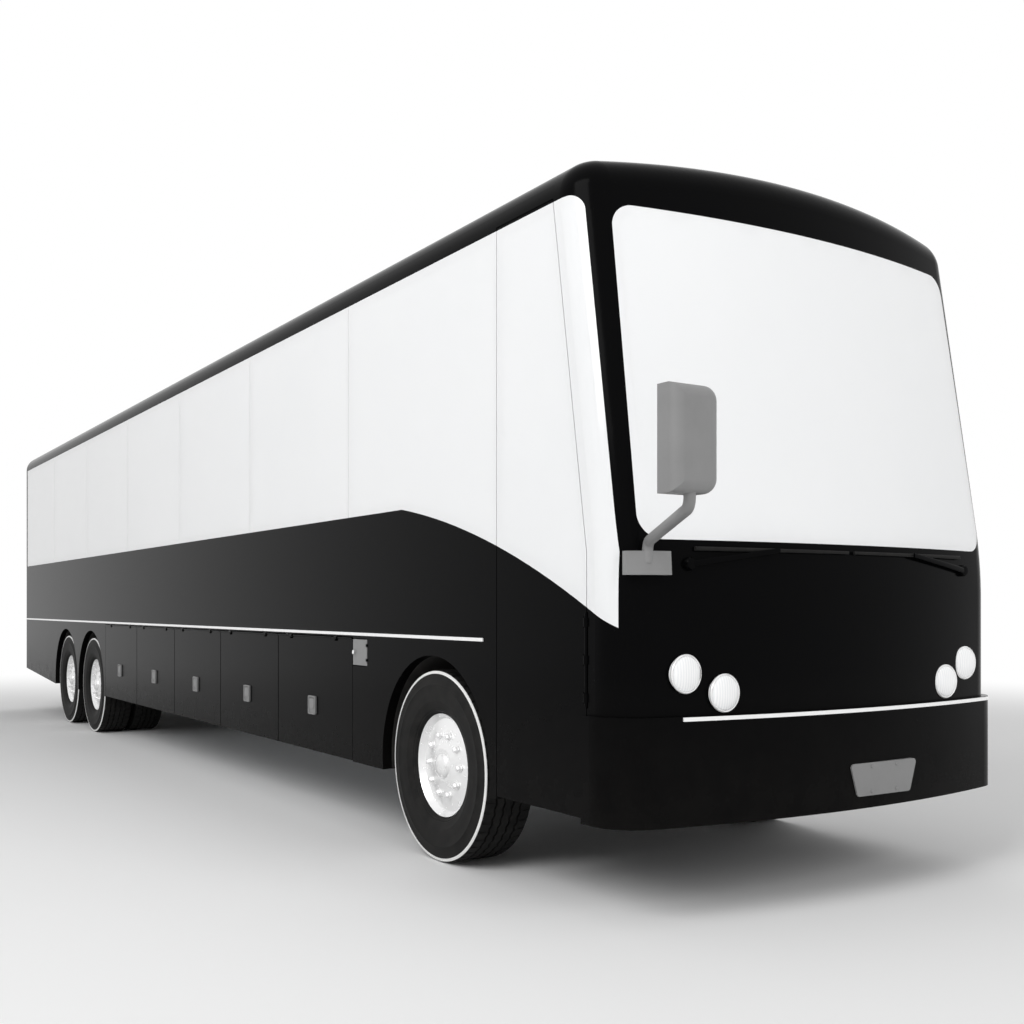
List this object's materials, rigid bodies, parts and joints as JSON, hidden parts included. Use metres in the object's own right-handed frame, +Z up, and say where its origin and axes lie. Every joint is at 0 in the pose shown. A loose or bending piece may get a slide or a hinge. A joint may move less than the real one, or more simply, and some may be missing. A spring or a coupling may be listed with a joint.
{
  "type": "party bus, three-axle touring coach",
  "caption": "Full-size highway coach with a bowed, raked nose, deep side glass over a swooping sill, luggage doors under the floor, and lounge benches inside.",
  "frame": {"origin": "on the ground, at the middle of the box around the coach and its mirrors", "axes": "+X forward, +Y to the left, +Z up"},
  "size_m": [14.24, 3.08, 3.6],
  "materials": {
    "body_paint": "gloss black",
    "glazing": "pale reflective film",
    "bright_trim": "polished",
    "wheel_polish": "polished",
    "tyre": "moulded rubber",
    "grey_fitting": "satin grey",
    "lamp_clear": "clear lens",
    "lamp_red": "red lens",
    "chassis": "satin black",
    "liner": "matte",
    "bellows_rubber": "matte",
    "deck_sheet": "mill sheet",
    "floor_covering": "ribbed vinyl",
    "dash_plastic": "grained",
    "seat_leather": "soft grain"
  },
  "bodies": {
    "root": {"front_cap": "body_paint", "front_bumper": "body_paint", "side_wall_right": "body_paint", "side_wall_left": "body_paint", "rear_cap": "body_paint", "roof_panel": "body_paint", "windscreen": "glazing", "cabin_glass": "glazing", "cabin_floor": "floor_covering", "entry_steps": "floor_covering", "luggage_deck": "deck_sheet", "luggage_bulkheads": "deck_sheet", "wheel_housings": "liner", "subframes": "chassis", "engine_block": "chassis", "front_axle_beam": "chassis", "rear_axles": "chassis", "air_bellows": "bellows_rubber", "headlamps": "lamp_clear", "tail_lamps": "lamp_red", "mirrors": "grey_fitting", "bright_trim": "bright_trim", "plate_panel": "grey_fitting", "dashboard": "dash_plastic", "driver_seat": "seat_leather", "lounge_benches": "seat_leather", "roof_hatches": "body_paint"},
    "knuckle_left": {"knuckle_left": "chassis"},
    "knuckle_right": {"knuckle_right": "chassis"},
    "wheel_front_left": {"tyre_front_left": "tyre", "wheel_front_left": "wheel_polish"},
    "wheel_front_right": {"tyre_front_right": "tyre", "wheel_front_right": "wheel_polish"},
    "wheel_drive_left": {"tyre_drive_left": "tyre", "wheel_drive_left": "wheel_polish"},
    "wheel_drive_right": {"tyre_drive_right": "tyre", "wheel_drive_right": "wheel_polish"},
    "wheel_tag_left": {"tyre_tag_left": "tyre", "wheel_tag_left": "wheel_polish"},
    "wheel_tag_right": {"tyre_tag_right": "tyre", "wheel_tag_right": "wheel_polish"},
    "entry_door": {"entry_door": "body_paint", "entry_door_glass": "glazing"},
    "luggage_door_right_1": {"luggage_door_right_1": "body_paint"},
    "luggage_door_right_2": {"luggage_door_right_2": "body_paint"},
    "luggage_door_right_3": {"luggage_door_right_3": "body_paint"},
    "luggage_door_right_4": {"luggage_door_right_4": "body_paint"},
    "luggage_door_right_5": {"luggage_door_right_5": "body_paint"},
    "luggage_door_left_1": {"luggage_door_left_1": "body_paint"},
    "luggage_door_left_2": {"luggage_door_left_2": "body_paint"},
    "luggage_door_left_3": {"luggage_door_left_3": "body_paint"},
    "luggage_door_left_4": {"luggage_door_left_4": "body_paint"},
    "luggage_door_left_5": {"luggage_door_left_5": "body_paint"},
    "engine_door": {"engine_door": "body_paint"},
    "fuel_door": {"fuel_door": "grey_fitting"}
  },
  "joints": [
    {"name": "steer_left", "type": "hinge", "parent": "root", "child": "knuckle_left", "pos_m": [4.78, 1.0275, 0.53], "axis": [0, 0, 1], "range_deg": [-40, 40]},
    {"name": "steer_right", "type": "hinge", "parent": "root", "child": "knuckle_right", "pos_m": [4.78, -1.0275, 0.53], "axis": [0, 0, 1], "range_deg": [-40, 40]},
    {"name": "spin_front_left", "type": "hinge", "parent": "knuckle_left", "child": "wheel_front_left", "pos_m": [4.78, 1.1125, 0.53], "axis": [0, 1, 0], "continuous": true},
    {"name": "spin_front_right", "type": "hinge", "parent": "knuckle_right", "child": "wheel_front_right", "pos_m": [4.78, -1.1125, 0.53], "axis": [0, 1, 0], "continuous": true},
    {"name": "spin_drive_left", "type": "hinge", "parent": "root", "child": "wheel_drive_left", "pos_m": [-3.22, 1.1125, 0.53], "axis": [0, 1, 0], "continuous": true},
    {"name": "spin_drive_right", "type": "hinge", "parent": "root", "child": "wheel_drive_right", "pos_m": [-3.22, -1.1125, 0.53], "axis": [0, 1, 0], "continuous": true},
    {"name": "spin_tag_left", "type": "hinge", "parent": "root", "child": "wheel_tag_left", "pos_m": [-4.49, 1.1125, 0.53], "axis": [0, 1, 0], "continuous": true},
    {"name": "spin_tag_right", "type": "hinge", "parent": "root", "child": "wheel_tag_right", "pos_m": [-4.49, -1.1125, 0.53], "axis": [0, 1, 0], "continuous": true},
    {"name": "entry_door_swing", "type": "hinge", "parent": "root", "child": "entry_door", "pos_m": [6.22, -1.295, 1.17], "axis": [0, 0, 1], "range_deg": [0, 85]},
    {"name": "luggage_door_right_1_lift", "type": "hinge", "parent": "root", "child": "luggage_door_right_1", "pos_m": [3.121, -1.295, 1.21], "axis": [-1, 0, 0], "range_deg": [0, 85]},
    {"name": "luggage_door_right_2_lift", "type": "hinge", "parent": "root", "child": "luggage_door_right_2", "pos_m": [1.863, -1.295, 1.21], "axis": [-1, 0, 0], "range_deg": [0, 85]},
    {"name": "luggage_door_right_3_lift", "type": "hinge", "parent": "root", "child": "luggage_door_right_3", "pos_m": [0.605, -1.295, 1.21], "axis": [-1, 0, 0], "range_deg": [0, 85]},
    {"name": "luggage_door_right_4_lift", "type": "hinge", "parent": "root", "child": "luggage_door_right_4", "pos_m": [-0.653, -1.295, 1.21], "axis": [-1, 0, 0], "range_deg": [0, 85]},
    {"name": "luggage_door_right_5_lift", "type": "hinge", "parent": "root", "child": "luggage_door_right_5", "pos_m": [-1.911, -1.295, 1.21], "axis": [-1, 0, 0], "range_deg": [0, 85]},
    {"name": "luggage_door_left_1_lift", "type": "hinge", "parent": "root", "child": "luggage_door_left_1", "pos_m": [3.121, 1.295, 1.21], "axis": [1, 0, 0], "range_deg": [0, 85]},
    {"name": "luggage_door_left_2_lift", "type": "hinge", "parent": "root", "child": "luggage_door_left_2", "pos_m": [1.863, 1.295, 1.21], "axis": [1, 0, 0], "range_deg": [0, 85]},
    {"name": "luggage_door_left_3_lift", "type": "hinge", "parent": "root", "child": "luggage_door_left_3", "pos_m": [0.605, 1.295, 1.21], "axis": [1, 0, 0], "range_deg": [0, 85]},
    {"name": "luggage_door_left_4_lift", "type": "hinge", "parent": "root", "child": "luggage_door_left_4", "pos_m": [-0.653, 1.295, 1.21], "axis": [1, 0, 0], "range_deg": [0, 85]},
    {"name": "luggage_door_left_5_lift", "type": "hinge", "parent": "root", "child": "luggage_door_left_5", "pos_m": [-1.911, 1.295, 1.21], "axis": [1, 0, 0], "range_deg": [0, 85]},
    {"name": "engine_door_lift", "type": "hinge", "parent": "root", "child": "engine_door", "pos_m": [-7.1, 0, 1.48], "axis": [0, 1, 0], "range_deg": [0, 80]},
    {"name": "fuel_door_swing", "type": "hinge", "parent": "root", "child": "fuel_door", "pos_m": [3.955, -1.295, 1.127], "axis": [0, 0, 1], "range_deg": [0, 100]}
  ],
  "couplings": [
    {"joint": "steer_right", "follows": "steer_left", "ratio": 1}
  ]
}
